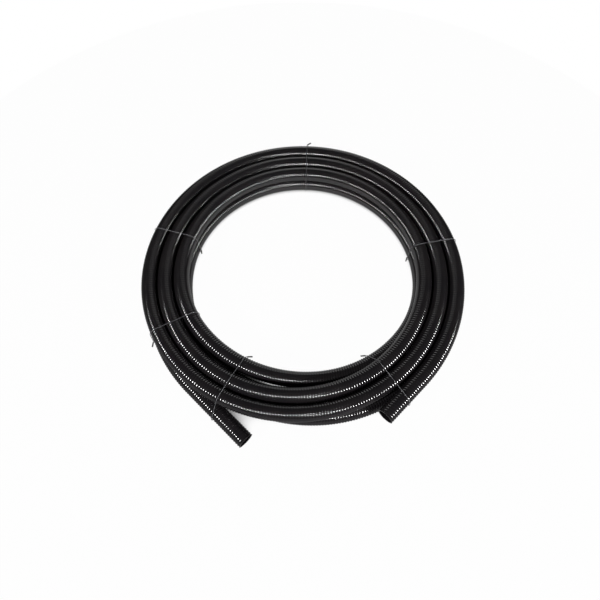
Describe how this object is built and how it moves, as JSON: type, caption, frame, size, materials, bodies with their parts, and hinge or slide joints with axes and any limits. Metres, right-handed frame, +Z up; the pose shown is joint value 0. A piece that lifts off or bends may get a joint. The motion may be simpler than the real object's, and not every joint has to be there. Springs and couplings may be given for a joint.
{
  "type": "corrugated conduit coil",
  "caption": "Coil of black corrugated flexible conduit lying flat, tied round with thin wire.",
  "frame": {"origin": "middle of the coil's footprint, on the floor it lies on", "axes": "+Z up along the coil's axis, -Y to the front, where the two ends are, +X to the right seen from the front"},
  "size_m": [0.6618, 0.6852, 0.0674],
  "materials": {
    "conduit": "semi-gloss black plastic, finely ribbed",
    "wire": "dull dark galvanised wire"
  },
  "bodies": {
    "root": {"conduit": "conduit", "tie_back": "wire", "tie_back_left": "wire", "tie_front_left": "wire", "tie_front": "wire", "tie_front_right": "wire", "tie_back_right": "wire"}
  },
  "joints": []
}
